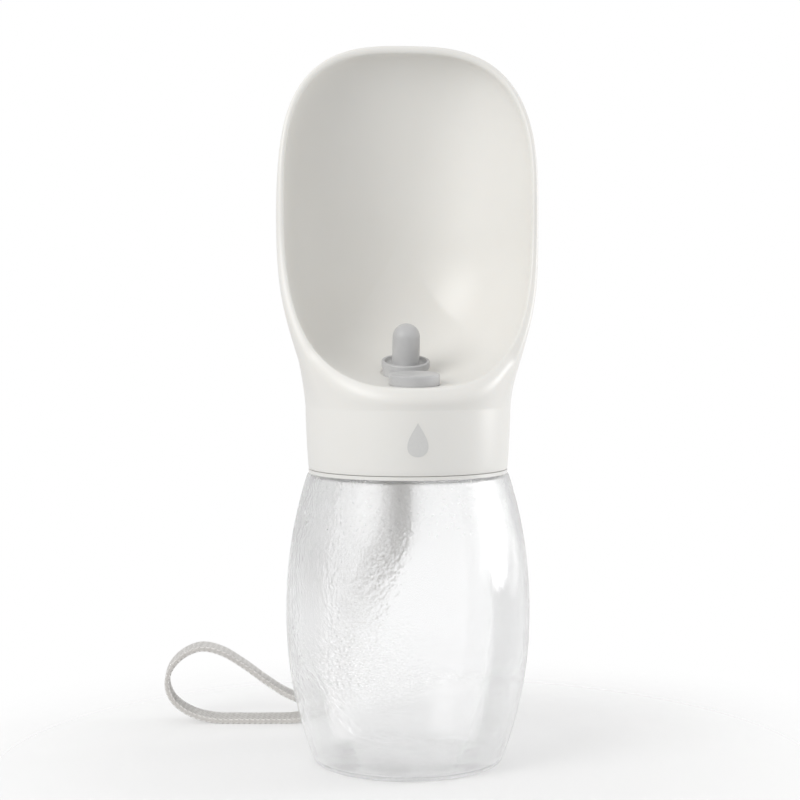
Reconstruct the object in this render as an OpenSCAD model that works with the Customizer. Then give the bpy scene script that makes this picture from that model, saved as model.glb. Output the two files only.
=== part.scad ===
// Dog travel water bottle: a squeeze bottle with a screwed-on drinking scoop.
// Origin: on the bottle's axis, at the level of the base.  +Z up.
// The open side of the scoop faces -Y.  Millimetres.

/* [Bottle] */
// Largest radius of the barrel
barrel_r = 35.7; // [33:0.1:40]
// Height of the widest place of the barrel
barrel_mid = 44; // [36:1:52]
// How much the barrel narrows down to the base
base_draw = 8.5; // [5:0.1:11]
// How much the barrel narrows up to the shoulder
shoulder_draw = 6.3; // [5:0.1:7]
// Height of the shoulder that the carry ring lies on
shoulder_z = 84.6; // [76:0.1:96]
// Wall of the bottle
bottle_wall = 1.3; // [1:0.1:2]
// Rounding of the bottom edge
base_round = 2.2; // [1.5:0.1:3]
// Radius inside which the base is pushed up
push_up_r = 20; // [14:0.5:22]
// Height of the push-up
push_up_h = 3; // [1:0.5:6]

/* [Neck and thread] */
// Outside radius of the neck
neck_r = 24.2; // [23:0.1:24.6]
// Height of the neck above the shoulder
neck_h = 14.4; // [12:0.2:16]
// Wall of the neck
neck_wall = 1.8; // [1.4:0.1:2.4]
// Pitch of the screw thread
pitch = 4.5; // [4:0.1:5]
// Turns of thread on each side
thread_turns = 1.5; // [1:0.25:1.5]
// Height of a thread ridge above its wall
ridge_h = 1.3; // [0.8:0.1:1.4]
// Width of a ridge at its root
ridge_w = 2.1; // [1.6:0.1:2.4]
// Wall of the threaded insert
insert_wall = 1.6; // [1.4:0.05:1.8]

/* [Carry ring] */
// Thickness of the ring between bottle and scoop
ring_t = 1; // [0.8:0.1:1.6]
// Width of the slot that the strap goes through
slot_w = 11.2; // [10.8:0.1:14]
// Depth of that slot
slot_d = 3.2; // [2.8:0.1:4]
// Diameter of the bar that the strap is looped round
bar_d = 3; // [2.4:0.1:4]

/* [Scoop] */
// How much wider the collar is where the scoop begins
collar_flare = 0.95; // [0.4:0.05:1.8]
// Height of the collar above its bottom edge
collar_h = 18.3; // [18:0.1:22]
// Wall of the collar
collar_wall = 1.6; // [1.4:0.1:1.7]
// Half of the opening's width, to the outside of the rim
rim_half = 38.2; // [36:0.1:39]
// Height of the widest place of the opening above the collar
rim_mid = 60; // [57:1:63]
// Height of the lip's outer edge above the collar
lip_rise = 3; // [2.4:0.1:4]
// Height of the top of the rim above its widest place
rim_top = 46.6; // [44:0.2:50]
// Thickness of the rim at the sides
rim_t = 1.8; // [1.6:0.1:2.4]
// Thickness of the rim at the top
rim_top_t = 2.6; // [1.8:0.1:3]
// Height of the lip's face
lip_face = 3.4; // [2.8:0.1:4]
// How far in front of the axis the rim's sides stand
rim_front = 3; // [2:0.5:6]
// How softly the lip's curve swings out into the rim's sides
rim_sweep = 40; // [24:1:42]
// How far the rim leans back from its sides to its top
rim_lean = 8; // [5:0.5:12]
// Squareness of the opening, 2 being an ellipse
rim_square = 2.9; // [2.2:0.1:3.2]
// How far behind the axis the back of the bowl lies
bowl_back = 27.2; // [26:0.1:27.6]
// Thickness of the floor above the collar's hollow
floor_t = 2.4; // [2:0.1:3]

/* [Stopper] */
// Radius of the outlet bore
outlet_r = 4; // [3:0.1:4.4]
// Wall of the outlet spout
spout_wall = 1.5; // [1.2:0.1:2]
// Radius of the plug's disc
plug_r = 7.1; // [6.6:0.1:7.6]
// Height of the plug's disc
plug_h = 4; // [3.4:0.1:4.6]
// Radius of the finger peg
peg_r = 4; // [3:0.1:4.6]
// Height of the peg's top above the seat
peg_top = 15; // [13:0.5:17]
// Depth of the plug's stem in the bore
stem_d = 4; // [3:0.1:5]
// Radius of the anchor's disc
anchor_r = 7.2; // [6.6:0.1:7.6]
// Height of the anchor's disc
anchor_h = 3.3; // [2.8:0.1:3.6]
// Radius of the anchor's stem
anchor_stem_r = 2.4; // [1.8:0.1:2.8]
// Thickness of the hinge tab between plug and anchor
tab_t = 1.2; // [1:0.1:1.6]

/* [Strap] */
// Width of the webbing
strap_w = 10; // [9:0.5:10.4]
// Thickness of the webbing
strap_t = 1.6; // [1.2:0.1:1.8]
// Length of the sewn, doubled end below the bar
sewn_len = 11; // [8:0.5:12]

/* [Hidden] */

fit = 0.05;         // pieces that are pressed or welded together
seam = 0.1;         // open line between collar and ring
screw_gap = 0.4;    // thread crest to the other wall
seat_gap = 0.3;     // soft silicone to the hard floor
deck_gap = 0.6;     // deck to the hollow's top
ridge_rise = 3.4;   // ring to the neck's ridge
fine = 96;

// heights that follow one another up the neck
ring_top = shoulder_z + ring_t;
collar_z = ring_top + seam;
neck_top = shoulder_z + neck_h;
gasket_t = 1.4;
deck_z = neck_top + gasket_t;
deck_t = 2;
hollow_z = deck_z + deck_t + deck_gap;
scoop_z = collar_z + collar_h;
rim_mid_z = scoop_z + rim_mid;
lip_z = scoop_z + lip_rise;
lip_in_z = lip_z + lip_face;
rim_top_z = rim_mid_z + rim_top;

// radii that follow one another out from the neck
insert_in_r = neck_r + ridge_h + screw_gap;
insert_r = insert_in_r + insert_wall;
hollow_r = insert_r + fit;
collar_r = hollow_r + collar_wall;
collar_top_r = collar_r + collar_flare;

function lerp(a, b, t) = a + (b - a) * t;
function bez(p, t) = pow(1 - t, 3) * p[0] + 3 * pow(1 - t, 2) * t * p[1]
    + 3 * (1 - t) * t * t * p[2] + pow(t, 3) * p[3];
function bez_way(p, t) = pow(1 - t, 2) * (p[1] - p[0])
    + 2 * (1 - t) * t * (p[2] - p[1]) + t * t * (p[3] - p[2]);
function unit(v) = v / norm(v);

// ---- bottle --------------------------------------------------------------

function barrel(z) = z < barrel_mid
    ? barrel_r - base_draw * pow((barrel_mid - z) / barrel_mid, 2.13)
    : barrel_r - shoulder_draw * pow((z - barrel_mid) / (shoulder_z - barrel_mid), 2.1);

// half outline of the barrel, drawn in by d
function barrel_line(d, from, to, steps) =
    [for (i = [0 : steps]) let (z = lerp(from, to, i / steps)) [barrel(z) - d, z]];

function arc(c, r, a0, a1, steps) =
    [for (i = [0 : steps]) let (a = lerp(a0, a1, i / steps)) c + r * [cos(a), sin(a)]];

module bottle_body() {
    b = base_round;
    edge = [barrel(b) - b, b];
    w = bottle_wall;
    top_in = shoulder_z - w;
    rotate_extrude($fn = fine)
        difference() {
            polygon(concat(
                [[0, push_up_h], [push_up_r * 0.6, push_up_h * 0.8], [push_up_r, 0]],
                arc(edge, b, -90, 0, 4),
                barrel_line(0, b + 1.2, shoulder_z - 0.8, 22),
                [[barrel(shoulder_z) - 0.6, shoulder_z], [neck_r, shoulder_z],
                 [neck_r, neck_top - 0.4], [neck_r - 0.4, neck_top], [0, neck_top]]));
            polygon(concat(
                [[0, push_up_h + w], [push_up_r * 0.6, push_up_h * 0.8 + w]],
                [[push_up_r, w], [edge[0], w]],
                barrel_line(w, b + 1.2, top_in - 1.5, 22),
                [[barrel(top_in) - w - 1.5, top_in], [neck_r - neck_wall, top_in],
                 [neck_r - neck_wall, neck_top + 1], [0, neck_top + 1]]));
        }
}

// a ridge wound round the axis; out is 1 on a neck and -1 inside a collar
module ridge(root, z0, turns, out) {
    per_turn = 30;
    rings = round(turns * per_turn);
    sink = 0.35;
    function grow(i) = min(1, 0.12 + 5 * min(i, rings - i) / per_turn);
    function section(i) = let (a = 360 * i / per_turn, z = z0 + pitch * i / per_turn,
                               h = ridge_h * grow(i), w = ridge_w / 2)
        [for (q = [[-sink, -w], [-sink, w], [h, w * 0.45], [h, -w * 0.45]])
            [(root + out * q[0]) * cos(a), (root + out * q[0]) * sin(a), z + q[1]]];
    points = [for (i = [0 : rings]) for (p = section(i)) p];
    sides = [for (i = [0 : rings - 1]) for (k = [0 : 3]) let (n = (k + 1) % 4)
        each [[4 * i + k, 4 * i + n, 4 * i + 4 + n], [4 * i + k, 4 * i + 4 + n, 4 * i + 4 + k]]];
    last = 4 * rings;
    ends = [[0, 2, 1], [0, 3, 2], [last, last + 1, last + 2], [last, last + 2, last + 3]];
    faces = concat(sides, ends);
    polyhedron(points, out < 0 ? faces : [for (f = faces) [f[0], f[2], f[1]]]);
}

// the neck's ridge starts this far above the shoulder, and the collar's half a pitch lower
neck_ridge_z = ring_top + ridge_rise;
collar_ridge_z = neck_ridge_z - pitch / 2;

module bottle() {
    color("whitesmoke", 0.5) {
        bottle_body();
        ridge(neck_r, neck_ridge_z, thread_turns, 1);
    }
}

// ---- carry ring ----------------------------------------------------------

lug_in = barrel(shoulder_z - 4) + 0.6;
slot_y = lug_in + 1.5;
bar_y = slot_y + slot_d + bar_d / 2;
bar_z = ring_top - bar_d / 2;

module carry_ring() {
    half = slot_w / 2;
    cheek = 2;
    color("white")
        difference() {
            union() {
                translate([0, 0, shoulder_z]) cylinder(h = ring_t, r = collar_r, $fn = fine);
                translate([-half - cheek, collar_r - 4, shoulder_z])
                    cube([2 * (half + cheek), lug_in + 4 - collar_r + 0.5, ring_t]);
                translate([-half - cheek, lug_in, bar_z - bar_d / 2])
                    cube([2 * (half + cheek), slot_y - lug_in, bar_d]);
                for (side = [-1, 1])
                    translate([side * (half + cheek / 2) - cheek / 2, slot_y - 0.5,
                               bar_z - bar_d / 2])
                        cube([cheek, slot_d + bar_d / 2 + 0.5, bar_d]);
                translate([-half - cheek, bar_y, bar_z])
                    rotate([0, 90, 0]) cylinder(h = 2 * (half + cheek), r = bar_d / 2, $fn = 48);
            }
            translate([0, 0, shoulder_z - 1])
                cylinder(h = ring_t + 2, r = neck_r + screw_gap, $fn = fine);
        }
}

// ---- gasket and threaded insert ------------------------------------------

module neck_gasket() {
    color("silver")
        translate([0, 0, neck_top])
            difference() {
                cylinder(h = gasket_t, r = neck_r + 0.6, $fn = fine);
                translate([0, 0, -1])
                    cylinder(h = gasket_t + 2, r = neck_r - neck_wall - 1, $fn = fine);
            }
}

module thread_insert() {
    color("white")
        difference() {
            union() {
                difference() {
                    translate([0, 0, collar_z])
                        cylinder(h = deck_z + deck_t - collar_z, r = insert_r, $fn = fine);
                    translate([0, 0, collar_z - 1])
                        cylinder(h = deck_z - collar_z + 1, r = insert_in_r, $fn = fine);
                }
                ridge(insert_in_r, collar_ridge_z, thread_turns, -1);
                outlet_place()
                    translate([0, 0, -spout_len])
                        cylinder(h = spout_len, r = outlet_r + spout_wall, $fn = 48);
            }
            outlet_place()
                translate([0, 0, -spout_len - 10])
                    cylinder(h = spout_len + 20, r = outlet_r, $fn = 48);
        }
}

// ---- scoop ---------------------------------------------------------------

around = 56;        // points round every ring of the scoop's skin

// place on the rim at angle a from the lip, for a half width, two half heights
// and the radius of the collar that the lip follows before the rim turns up
function rim_point(a, half, low, high, r) =
    let (h = cos(a) > 0 ? low : high,
         k = pow(pow(abs(sin(a)) / half, rim_square) + pow(abs(cos(a)) / h, rim_square),
                 -1 / rim_square),
         x = k * sin(a),
         low = pow(max(0, cos(a)), 2),
         soft = rim_front + rim_sweep * low * low * (1 - 0.65 * low),
         lip_y = -pow(pow(max(0, r * r - x * x), 2) + pow(soft, 4), 0.25),
         lean_y = -rim_front + rim_lean * pow(max(0, -cos(a)) * k / high, 2))
    [x, cos(a) > 0 ? lip_y : lean_y, rim_mid_z - k * cos(a)];

function rim_out(a) =
    rim_point(a, rim_half, rim_mid_z - lip_z, rim_top, collar_top_r);
function rim_in(a) =
    rim_point(a, rim_half - rim_t, rim_mid_z - lip_in_z, rim_top - rim_top_t,
              collar_top_r - rim_t);
rim_back = [0, 1, 0];

// the outer skin climbs from the collar and comes forward to the rim, by way of
// points that stand out from both
foot_swell = 2.4;
side_swell = 12;
top_swell = 22;
low_bulge = 2.4;
high_bulge = 3.2;
side_drop = 12;
function skin_line(a) =
    let (foot = [collar_top_r * sin(a), -collar_top_r * cos(a), scoop_z],
         tip = rim_out(a),
         side = pow(sin(a), 2),
         rear = (1 - cos(a)) / 2,
         back = a < 90 || a > 270 ? side_swell * pow(side, 2) : lerp(top_swell, side_swell, side),
         away = unit([tip[0], 0, tip[2] - rim_mid_z + 0.01]),
         climb = (tip[2] - scoop_z) / 3 * (0.43 + 0.72 * rear))
    [foot,
     foot + [foot_swell * rear * sin(a), -foot_swell * rear * cos(a), climb],
     tip + rim_back * back + away * lerp(low_bulge, high_bulge, rear) * side - [0, 0, side_drop * side],
     tip];

// the bowl's skin runs from the rim's inner edge to the middle of the back wall:
// straight back from the sides, past the axis from the lip, and then up the wall
side_run = 13;
past_axis = 7.3;
lip_run = collar_top_r - rim_t + past_axis;
top_fall = 26;
lip_fall = 34;
wall_spread = 20;
mid_drop = 9;
back_mid = [0, bowl_back, rim_mid_z - mid_drop];
back_up = unit([0, -0.1, 1]);
function bowl_line(a) =
    let (tip = rim_in(a),
         low = max(0, cos(a)),
         run = lerp(side_run, lip_run, low * low),
         down = lerp(top_fall, lip_fall, low))
    [tip,
     tip + unit([0, 1, 0.03 * low]) * run,
     back_mid + back_up * -cos(a) * down + [sin(a) * wall_spread, 0, 0],
     back_mid];

floor_line = bowl_line(0);
function floor_at_y(y, lo = 0, hi = 0.85, n = 16) =
    n == 0 ? (lo + hi) / 2
    : let (t = (lo + hi) / 2)
      bez(floor_line, t)[1] < y ? floor_at_y(y, t, hi, n - 1) : floor_at_y(y, lo, t, n - 1);

// the hollow under the floor
function hollow_point(a, k) =
    let (x = hollow_r * k * sin(a), y = -hollow_r * k * cos(a),
         z = bez(floor_line, floor_at_y(y))[2] - floor_t)
    [x, y, hollow_z + max(0.5, z - hollow_z) * (1 - pow(k, 4))];

function circle_at(r, z) = [for (i = [0 : around - 1]) let (a = 360 * i / around)
    [r * sin(a), -r * cos(a), z]];
// the rim's face swells forward a little, but not at the lip
function rim_ring(k, proud) = [for (i = [0 : around - 1]) let (a = 360 * i / around)
    lerp(rim_out(a), rim_in(a), k) - rim_back * proud * max(0, min(1, 0.6 - cos(a)))];

hollow_rings = [for (k = [0.25, 0.5, 0.7, 0.85, 0.95])
    [for (i = [0 : around - 1]) hollow_point(360 * i / around, k)]];
skin_rings = [for (t = [0 : 1 / 14 : 0.999])
    [for (i = [0 : around - 1]) bez(skin_line(360 * i / around), t)]];
bowl_rings = [for (t = [1 / 14 : 1 / 14 : 0.95])
    [for (i = [0 : around - 1]) bez(bowl_line(360 * i / around), t)]];
scoop_rings = concat(
    hollow_rings,
    [circle_at(hollow_r, hollow_z), circle_at(hollow_r, collar_z),
     circle_at(collar_r, collar_z), circle_at(lerp(collar_r, collar_top_r, 0.45),
     lerp(collar_z, scoop_z, 0.6))],
    skin_rings,
    [rim_ring(0, 0), rim_ring(0.25, 0.6), rim_ring(0.75, 0.6), rim_ring(1, 0)],
    bowl_rings);

module scoop_skin() {
    n = around;
    rows = len(scoop_rings);
    points = concat([for (ring = scoop_rings) each ring],
                    [hollow_point(0, 0), back_mid]);
    bottom = n * rows;
    sides = [for (j = [0 : rows - 2]) for (i = [0 : n - 1]) let (k = (i + 1) % n)
        each [[j * n + k, j * n + i, j * n + n + k], [j * n + n + k, j * n + i, j * n + n + i]]];
    caps = [for (i = [0 : n - 1]) let (k = (i + 1) % n)
        each [[bottom, i, k], [bottom + 1, (rows - 1) * n + k, (rows - 1) * n + i]]];
    polyhedron(points, concat(sides, caps));
}

// ---- stopper -------------------------------------------------------------

plug_at = 0.275;     // place of the outlet along the floor's line
anchor_at = 0.09;   // place of the anchor
plug_x = -1;        // the outlet lies a little to one side

plug_seat = bez(floor_line, plug_at);
plug_way = bez_way(floor_line, plug_at);
plug_tilt = atan2(plug_way[2], plug_way[1]);
anchor_seat = bez(floor_line, anchor_at);
anchor_way = bez_way(floor_line, anchor_at);
anchor_tilt = atan2(anchor_way[2], anchor_way[1]);
spout_sink = 1;
spout_len = (plug_seat[2] - deck_z - spout_sink) / cos(plug_tilt);

module outlet_place() {
    translate([plug_x, plug_seat[1], plug_seat[2]]) rotate([plug_tilt, 0, 0]) children();
}

module anchor_place() {
    translate(anchor_seat) rotate([anchor_tilt, 0, 0]) children();
}

module drinking_scoop() {
    color("whitesmoke")
        difference() {
            scoop_skin();
            outlet_place() {
                cylinder(h = 6, r = plug_r + seat_gap, $fn = 48);
                translate([0, 0, -8])
                    cylinder(h = 9, r = outlet_r + spout_wall + fit, $fn = 48);
            }
            anchor_place() {
                cylinder(h = 6, r = anchor_r + seat_gap, $fn = 48);
                translate([0, 0, -8]) cylinder(h = 9, r = anchor_stem_r + fit, $fn = 48);
            }
        }
}

// the tab's hinge lies across the front of the plug; its top edge is the axis
tab_reach = 1.9;
hinge_back = plug_r + tab_reach;
tab_low = 1.1;
hinge_up = tab_low + tab_t;
tab_left = -5.6;
tab_right = 4.4;
hinge_slit = 0.05;

// a point of a tilted place, [y, z] in it, as [y, z] of the whole
function seat_point(seat, tilt, q) =
    [seat[1] + q[0] * cos(tilt) - q[1] * sin(tilt), seat[2] + q[0] * sin(tilt) + q[1] * cos(tilt)];
hinge = seat_point(plug_seat, plug_tilt, [-hinge_back, hinge_up]);

// the stem tapers so that its far edge clears the bore as the plug swings out
stem_tip_r = sqrt(pow(hinge_back + outlet_r - 0.1, 2) + pow(hinge_up, 2)
    - pow(hinge_up + stem_d, 2)) - hinge_back - 0.1;

// the barb lies under the floor, whose lowest place there is at the barb's front edge
barb_out = 0.8;
barb_h = 1.8;
barb_gap = 0.4;
barb_point = 0.6;
tab_bite = 1;
barb_front = anchor_stem_r + barb_out - anchor_seat[1];
anchor_floor = anchor_seat[2] - hollow_point(0, barb_front / hollow_r)[2] + barb_gap;

module stopper_anchor() {
    tab_top = seat_point(anchor_seat, anchor_tilt, [anchor_r - tab_bite, hinge_up + 0.1]);
    tab_under = seat_point(anchor_seat, anchor_tilt, [anchor_r - tab_bite, tab_low + 0.1]);
    color("darkgray") {
        anchor_place() {
            rotate_extrude($fn = 48)
                polygon([[0, -anchor_floor - barb_h], [anchor_stem_r - barb_point, -anchor_floor - barb_h],
                         [anchor_stem_r + barb_out, -anchor_floor - 0.3],
                         [anchor_stem_r + barb_out, -anchor_floor],
                         [anchor_stem_r, -anchor_floor], [anchor_stem_r, 0],
                         [anchor_r - 0.2, 0], [anchor_r, 0.2], [anchor_r, anchor_h - 0.4],
                         [anchor_r - 0.4, anchor_h], [0, anchor_h]]);
        }
        translate([plug_x + tab_left, 0, 0]) rotate([90, 0, 90])
            linear_extrude(tab_right - tab_left)
                polygon([tab_under, tab_top, [hinge[0] - hinge_slit, hinge[1]],
                         [hinge[0] - hinge_slit, hinge[1] - tab_t]]);
    }
}

// the plug's disc is rebated underneath and dished round the peg
rebate = 1.5;
flange_z = 1.9;
dish = 1.1;

module stopper_plug() {
    hub_r = plug_r - rebate;
    color("gray")
        outlet_place() {
            rotate_extrude($fn = 48)
                polygon(concat(
                    [[0, -stem_d], [stem_tip_r, -stem_d], [outlet_r - 0.1, 0], [hub_r, 0],
                     [hub_r, flange_z], [plug_r - 0.2, flange_z], [plug_r, flange_z + 0.2]],
                    [[plug_r, plug_h - 0.35], [plug_r - 0.35, plug_h], [plug_r - dish + 0.2, plug_h],
                     [plug_r - dish - 0.2, plug_h - dish], [peg_r, plug_h - dish]],
                    arc([0, peg_top - peg_r], peg_r, 0, 90, 8)));
            intersection() {
                cylinder(h = flange_z + 0.5, r = plug_r, $fn = 48);
                translate([-plug_r, -plug_r, 0])
                    cube([plug_r + tab_right, plug_r - 1, flange_z + 0.5]);
            }
            translate([tab_left, -hinge_back + hinge_slit, tab_low])
                cube([tab_right - tab_left, 4, tab_t]);
        }
}

// ---- strap ---------------------------------------------------------------

// outline of a flat band, t thick, along a line of [y, z] points
function side_of(line, i) = let (
    a = line[max(0, i - 1)], b = line[min(len(line) - 1, i + 1)], d = (b - a) / norm(b - a))
    [-d[1], d[0]];
function band(line, t) = concat(
    [for (i = [0 : len(line) - 1]) line[i] + side_of(line, i) * t / 2],
    [for (i = [len(line) - 1 : -1 : 0]) line[i] - side_of(line, i) * t / 2]);

turn_r = bar_d / 2 + fit + strap_t / 2;
leg = strap_t / 2 + 0.03;
join_z = bar_z - 7;
sewn_z = join_z - sewn_len;

module strap_bight() {
    line = concat([[bar_y - leg, sewn_z], [bar_y - leg, join_z], [bar_y - lerp(leg, turn_r, 0.5),
                   lerp(join_z, bar_z, 0.45)]],
                  arc([bar_y, bar_z], turn_r, 180, 0, 10),
                  [[bar_y + lerp(leg, turn_r, 0.5), lerp(join_z, bar_z, 0.45)],
                   [bar_y + leg, join_z], [bar_y + leg, sewn_z]]);
    color("linen")
        translate([-strap_w / 2, 0, 0]) rotate([90, 0, 90])
            linear_extrude(strap_w) polygon(band(line, strap_t));
}

module strap_stitching() {
    stitch = [1.4, 0.3, 0.5];
    across = 5;
    step = (strap_w - 2) / across;
    color("white")
        for (face = [-1, 1]) for (row = [0.2, 0.8]) for (i = [0 : across - 1])
            translate([(i - (across - 1) / 2) * step - stitch[0] / 2,
                       bar_y + face * (leg + strap_t / 2) - (face < 0 ? stitch[1] : 0),
                       lerp(sewn_z, join_z, row)])
                cube(stitch);
}

// middle of the webbing as it lies, and how far its width is turned from X:
// down behind the bottle, along the ground, round the loop and back up
strap_route = [
    [0, bar_y - leg, sewn_z, 0], [-1, 37.2, 60, 8], [-3.6, 39, 53, 26], [-7, 41.2, 46, 46],
    [-10.2, 43.6, 39, 63], [-13, 45.6, 32, 76], [-15.2, 47.2, 25, 86], [-16.8, 48.6, 18, 90],
    [-18.4, 50, 11.5, 90], [-21.4, 51.4, 5.8, 90], [-26, 52.6, 2.4, 90], [-32, 53.6, 1.1, 90],
    [-40, 54.4, 0.9, 90], [-49, 55.2, 0.9, 90], [-57, 56, 1.1, 90], [-64, 56.8, 2.8, 90],
    [-69.6, 57.4, 6.4, 90], [-72.2, 57.8, 11.4, 90], [-71.4, 57.8, 16.8, 90],
    [-67.4, 57.4, 21.4, 90], [-61.4, 56.8, 23.8, 90], [-54.8, 56.2, 22.4, 90],
    [-48, 55.6, 18.4, 90], [-41, 54.8, 13.4, 90], [-35, 53.8, 9.6, 90], [-30.2, 52.8, 8, 90],
    [-26.8, 51.6, 9.8, 90], [-24.6, 50.2, 14.4, 90], [-22.8, 48.6, 20.2, 90], [-20.6, 47.2, 26.8, 86],
    [-18, 46.1, 33.2, 76], [-14.6, 44.8, 39.8, 63], [-10.8, 43, 46.4, 46], [-6.2, 41.2, 53.2, 26],
    [-2, 39.4, 60.1, 8], [0, bar_y + leg, sewn_z, 0]];

// a smooth line through the route's points, steps places to each stretch
function through(p, steps) = let (n = len(p) - 1) concat(
    [for (i = [0 : n - 1]) for (k = [0 : steps - 1])
        let (a = p[max(0, i - 1)], b = p[i], c = p[i + 1], d = p[min(n, i + 2)], t = k / steps)
        b + t * (c - a) / 2 + t * t * (a - 2.5 * b + 2 * c - d / 2)
          + t * t * t * (3 * b - a - 3 * c + d) / 2],
    [p[n]]);

// ring of eight points across the webbing at place i of a line
function webbing_ring(line, i) =
    let (n = len(line) - 1,
         pick = function (q) [q[0], q[1], q[2]],
         here = pick(line[i]),
         way = i == 0 || i == n ? [0, 0, i == 0 ? -1 : 1]
             : unit(pick(line[i + 1]) - pick(line[i - 1])),
         a = line[i][3],
         flat = [cos(a), sin(a), 0],
         wide = unit(flat - way * (flat * way)),
         thick = cross(way, wide),
         w = strap_w / 2, t = strap_t / 2)
    [for (q = [[w, t * 0.5], [w - 0.5, t], [0.5 - w, t], [-w, t * 0.5],
               [-w, -t * 0.5], [0.5 - w, -t], [w - 0.5, -t], [w, -t * 0.5]])
        here + wide * q[0] + thick * q[1]];

module strap_loop() {
    line = through(strap_route, 2);
    rings = len(line);
    m = 8;
    points = [for (i = [0 : rings - 1]) each webbing_ring(line, i)];
    sides = [for (i = [0 : rings - 2]) for (k = [0 : m - 1]) let (n = (k + 1) % m)
        each [[m * i + k, m * i + m + n, m * i + n], [m * i + k, m * i + m + k, m * i + m + n]]];
    caps = [for (k = [1 : m - 2])
        each [[0, k, k + 1], [m * (rings - 1), m * (rings - 1) + k + 1, m * (rings - 1) + k]]];
    color("linen") polyhedron(points, concat(sides, caps));
}

bottle();
carry_ring();
neck_gasket();
thread_insert();
drinking_scoop();
stopper_anchor();
stopper_plug();
strap_bight();
strap_stitching();
strap_loop();
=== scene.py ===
import math
import bmesh
import bpy
import numpy as np
from mathutils import Matrix, Vector


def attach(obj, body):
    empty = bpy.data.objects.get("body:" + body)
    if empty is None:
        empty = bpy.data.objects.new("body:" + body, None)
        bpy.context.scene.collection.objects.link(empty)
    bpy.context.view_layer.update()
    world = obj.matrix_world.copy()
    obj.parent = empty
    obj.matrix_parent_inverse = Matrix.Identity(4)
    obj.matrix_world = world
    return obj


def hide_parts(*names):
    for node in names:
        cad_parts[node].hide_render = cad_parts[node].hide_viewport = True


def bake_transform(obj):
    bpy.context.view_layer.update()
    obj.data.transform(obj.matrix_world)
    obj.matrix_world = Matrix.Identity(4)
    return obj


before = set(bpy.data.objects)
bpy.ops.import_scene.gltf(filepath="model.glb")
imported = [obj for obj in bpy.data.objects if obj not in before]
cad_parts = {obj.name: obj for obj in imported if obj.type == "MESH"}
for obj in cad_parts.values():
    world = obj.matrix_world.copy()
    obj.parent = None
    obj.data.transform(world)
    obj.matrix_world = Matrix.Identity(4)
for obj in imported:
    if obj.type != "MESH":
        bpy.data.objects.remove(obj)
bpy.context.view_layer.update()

# the pieces are in millimetres until buildMesh turns them into metres; camera and studio are in metres
mm = 0.001
onAxis = 1e-6  # a radius below this is a point on the axis
mostCut = 0.49  # a rounding takes at most this share of each side


# a mesh object from points in millimetres, smooth but for edges sharper than the angle
def buildMesh(name, points, faces, material, sharpAngle=40, uvs=None):
    mesh = bpy.data.meshes.new(name)
    mesh.from_pydata([tuple(float(v) * mm for v in p) for p in points], [], [tuple(f) for f in faces])
    mesh.validate()
    if uvs is not None:
        layer = mesh.uv_layers.new(name="weave")
        for loop in mesh.loops:
            layer.data[loop.index].uv = uvs[loop.vertex_index]
    finishMesh(mesh, sharpAngle)
    piece = bpy.data.objects.new(name, mesh)
    bpy.context.scene.collection.objects.link(piece)
    piece.data.materials.append(material)
    return piece


# turns all faces outwards and marks the sharp edges
def finishMesh(mesh, sharpAngle):
    work = bmesh.new()
    work.from_mesh(mesh)
    bmesh.ops.recalc_face_normals(work, faces=work.faces)
    work.to_mesh(mesh)
    work.free()
    mesh.shade_smooth()
    mesh.set_sharp_from_angle(angle=math.radians(sharpAngle))
    mesh.update()


# the piece rides on a body and stands for any CAD nodes given, which it hides
def settle(piece, body, nodes=()):
    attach(piece, body)
    if nodes:
        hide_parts(*nodes)
    return piece


# faces of a skin through rings of equal count, with a pole at either end if asked for
def ringFaces(rows, count, firstPole=None, lastPole=None):
    faces = []
    for j in range(rows - 1):
        for i in range(count):
            k = (i + 1) % count
            faces.append((j * count + k, j * count + i, (j + 1) * count + i, (j + 1) * count + k))
    for i in range(count):
        k = (i + 1) % count
        if firstPole is not None:
            faces.append((firstPole, i, k))
        if lastPole is not None:
            faces.append((lastPole, (rows - 1) * count + k, (rows - 1) * count + i))
    return faces


# corners (x, y, radius) of a line, each rounded with that radius
def roundLine(corners, steps=5):
    line = []
    for i, corner in enumerate(corners):
        here = np.array(corner[:2], float)
        r = corner[2] if len(corner) > 2 else 0
        if r == 0 or i in (0, len(corners) - 1):
            line.append(here)
            continue
        before = np.array(corners[i - 1][:2], float) - here
        after = np.array(corners[i + 1][:2], float) - here
        a, b = np.linalg.norm(before), np.linalg.norm(after)
        reach = min(r, a * mostCut, b * mostCut)
        start, end = here + before / a * reach, here + after / b * reach
        for k in range(steps + 1):
            t = k / steps
            line.append((1 - t) ** 2 * start + 2 * t * (1 - t) * here + t * t * end)
    return line


# a line of (radius, height) that starts and ends on the axis, turned round it
def latheMesh(line, count, place=Matrix.Identity(4)):
    line = [np.array(p[:2], float) for p in line]
    rings = [p for p in line if p[0] > onAxis]
    points = []
    for r, z in rings:
        for i in range(count):
            a = 2 * math.pi * i / count
            points.append((r * math.sin(a), -r * math.cos(a), z))
    pole = len(points)
    points += [(0, 0, line[0][1]), (0, 0, line[-1][1])]
    return [tuple(place @ Vector(p)) for p in points], ringFaces(len(rings), count, pole, pole + 1)


# several sets of points and faces as one
def joined(*parts):
    points, faces = [], []
    for somePoints, someFaces in parts:
        base = len(points)
        points += list(somePoints)
        faces += [tuple(i + base for i in f) for f in someFaces]
    return points, faces


def bezier(p, t):
    t = np.asarray(t, float)[..., None]
    return (1 - t) ** 3 * p[0] + 3 * (1 - t) ** 2 * t * p[1] + 3 * (1 - t) * t * t * p[2] + t ** 3 * p[3]


def mix(a, b, t):
    return a + (b - a) * t


def unit(v):
    return v / np.linalg.norm(v, axis=-1, keepdims=True)


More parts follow.
